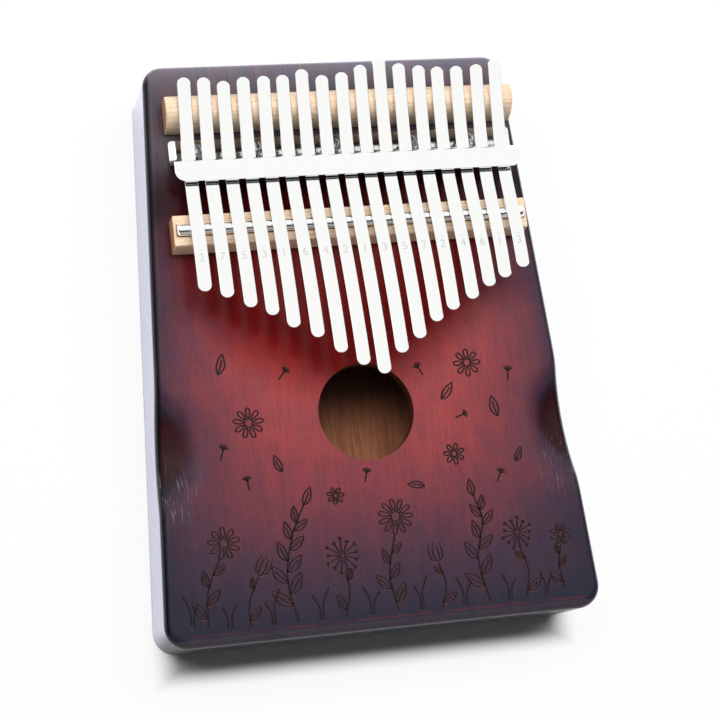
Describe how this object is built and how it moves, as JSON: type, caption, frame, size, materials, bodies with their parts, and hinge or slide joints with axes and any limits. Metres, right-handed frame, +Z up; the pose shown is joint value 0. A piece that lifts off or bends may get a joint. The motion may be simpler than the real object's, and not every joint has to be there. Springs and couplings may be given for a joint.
{
  "type": "kalimba",
  "caption": "Hollow wooden thumb piano: tuned steel tines lie over a bridge rod under a slotted bracket, above a round sound hole, with a scooped rest at each long edge.",
  "frame": {"origin": "middle of the underside, halfway along and across the body", "axes": "+Y from the lower end, nearest the player, to the tine tails; +Z up out of the soundboard; +X to the player's right"},
  "size_m": [0.1402, 0.185, 0.0511],
  "materials": {
    "lacquered_mahogany": "stained red brown, clear gloss lacquer",
    "back_wood": "stained and lacquered outside, bare light brown inside",
    "bare_beech": "bare, sanded",
    "chromed_steel": "polished chrome plate",
    "screw_steel": "nickel plate",
    "tine_steel": "polished nickel plate on spring steel"
  },
  "bodies": {
    "base": {"body_shell": "lacquered_mahogany", "back_panel": "back_wood", "rear_bridge": "bare_beech", "front_bridge": "bare_beech", "bridge_rod": "chromed_steel", "tine_bracket": "chromed_steel", "screw_1": "screw_steel", "screw_2": "screw_steel", "screw_3": "screw_steel", "screw_4": "screw_steel", "screw_5": "screw_steel"},
    "tine_01": {"tine_01": "tine_steel"},
    "tine_02": {"tine_02": "tine_steel"},
    "tine_03": {"tine_03": "tine_steel"},
    "tine_04": {"tine_04": "tine_steel"},
    "tine_05": {"tine_05": "tine_steel"},
    "tine_06": {"tine_06": "tine_steel"},
    "tine_07": {"tine_07": "tine_steel"},
    "tine_08": {"tine_08": "tine_steel"},
    "tine_09": {"tine_09": "tine_steel"},
    "tine_10": {"tine_10": "tine_steel"},
    "tine_11": {"tine_11": "tine_steel"},
    "tine_12": {"tine_12": "tine_steel"},
    "tine_13": {"tine_13": "tine_steel"},
    "tine_14": {"tine_14": "tine_steel"},
    "tine_15": {"tine_15": "tine_steel"},
    "tine_16": {"tine_16": "tine_steel"},
    "tine_17": {"tine_17": "tine_steel"}
  },
  "joints": [
    {"name": "pluck_01", "type": "hinge", "parent": "base", "child": "tine_01", "pos_m": [-0.04944, 0.0358, 0.04226], "axis": [1, 0, 0], "range_deg": [0, 1.2], "stiffness_Nm_per_rad": 2, "springref_deg": -1.15},
    {"name": "pluck_02", "type": "hinge", "parent": "base", "child": "tine_02", "pos_m": [-0.04289, 0.0358, 0.04226], "axis": [1, 0, 0], "range_deg": [0, 1.2], "stiffness_Nm_per_rad": 2, "springref_deg": -1.15},
    {"name": "pluck_03", "type": "hinge", "parent": "base", "child": "tine_03", "pos_m": [-0.03626, 0.0358, 0.04226], "axis": [1, 0, 0], "range_deg": [0, 1.2], "stiffness_Nm_per_rad": 2, "springref_deg": -1.15},
    {"name": "pluck_04", "type": "hinge", "parent": "base", "child": "tine_04", "pos_m": [-0.02983, 0.0358, 0.04226], "axis": [1, 0, 0], "range_deg": [0, 1.2], "stiffness_Nm_per_rad": 2, "springref_deg": -1.15},
    {"name": "pluck_05", "type": "hinge", "parent": "base", "child": "tine_05", "pos_m": [-0.02356, 0.0358, 0.04226], "axis": [1, 0, 0], "range_deg": [0, 1.2], "stiffness_Nm_per_rad": 2, "springref_deg": -1.15},
    {"name": "pluck_06", "type": "hinge", "parent": "base", "child": "tine_06", "pos_m": [-0.01689, 0.0358, 0.04226], "axis": [1, 0, 0], "range_deg": [0, 1.2], "stiffness_Nm_per_rad": 2, "springref_deg": -1.15},
    {"name": "pluck_07", "type": "hinge", "parent": "base", "child": "tine_07", "pos_m": [-0.01042, 0.0358, 0.04226], "axis": [1, 0, 0], "range_deg": [0, 1.2], "stiffness_Nm_per_rad": 2, "springref_deg": -1.15},
    {"name": "pluck_08", "type": "hinge", "parent": "base", "child": "tine_08", "pos_m": [-0.00399, 0.0358, 0.04226], "axis": [1, 0, 0], "range_deg": [0, 1.2], "stiffness_Nm_per_rad": 2, "springref_deg": -1.15},
    {"name": "pluck_09", "type": "hinge", "parent": "base", "child": "tine_09", "pos_m": [0.00232, 0.0358, 0.04226], "axis": [1, 0, 0], "range_deg": [0, 1.2], "stiffness_Nm_per_rad": 2, "springref_deg": -1.15},
    {"name": "pluck_10", "type": "hinge", "parent": "base", "child": "tine_10", "pos_m": [0.00883, 0.0358, 0.04226], "axis": [1, 0, 0], "range_deg": [0, 1.2], "stiffness_Nm_per_rad": 2, "springref_deg": -1.15},
    {"name": "pluck_11", "type": "hinge", "parent": "base", "child": "tine_11", "pos_m": [0.01528, 0.0358, 0.04226], "axis": [1, 0, 0], "range_deg": [0, 1.2], "stiffness_Nm_per_rad": 2, "springref_deg": -1.15},
    {"name": "pluck_12", "type": "hinge", "parent": "base", "child": "tine_12", "pos_m": [0.02171, 0.0358, 0.04226], "axis": [1, 0, 0], "range_deg": [0, 1.2], "stiffness_Nm_per_rad": 2, "springref_deg": -1.15},
    {"name": "pluck_13", "type": "hinge", "parent": "base", "child": "tine_13", "pos_m": [0.02796, 0.0358, 0.04226], "axis": [1, 0, 0], "range_deg": [0, 1.2], "stiffness_Nm_per_rad": 2, "springref_deg": -1.15},
    {"name": "pluck_14", "type": "hinge", "parent": "base", "child": "tine_14", "pos_m": [0.03461, 0.0358, 0.04226], "axis": [1, 0, 0], "range_deg": [0, 1.2], "stiffness_Nm_per_rad": 2, "springref_deg": -1.15},
    {"name": "pluck_15", "type": "hinge", "parent": "base", "child": "tine_15", "pos_m": [0.04098, 0.0358, 0.04226], "axis": [1, 0, 0], "range_deg": [0, 1.2], "stiffness_Nm_per_rad": 2, "springref_deg": -1.15},
    {"name": "pluck_16", "type": "hinge", "parent": "base", "child": "tine_16", "pos_m": [0.04705, 0.0358, 0.04226], "axis": [1, 0, 0], "range_deg": [0, 1.2], "stiffness_Nm_per_rad": 2, "springref_deg": -1.15},
    {"name": "pluck_17", "type": "hinge", "parent": "base", "child": "tine_17", "pos_m": [0.05356, 0.0358, 0.04226], "axis": [1, 0, 0], "range_deg": [0, 1.2], "stiffness_Nm_per_rad": 2, "springref_deg": -1.15}
  ]
}
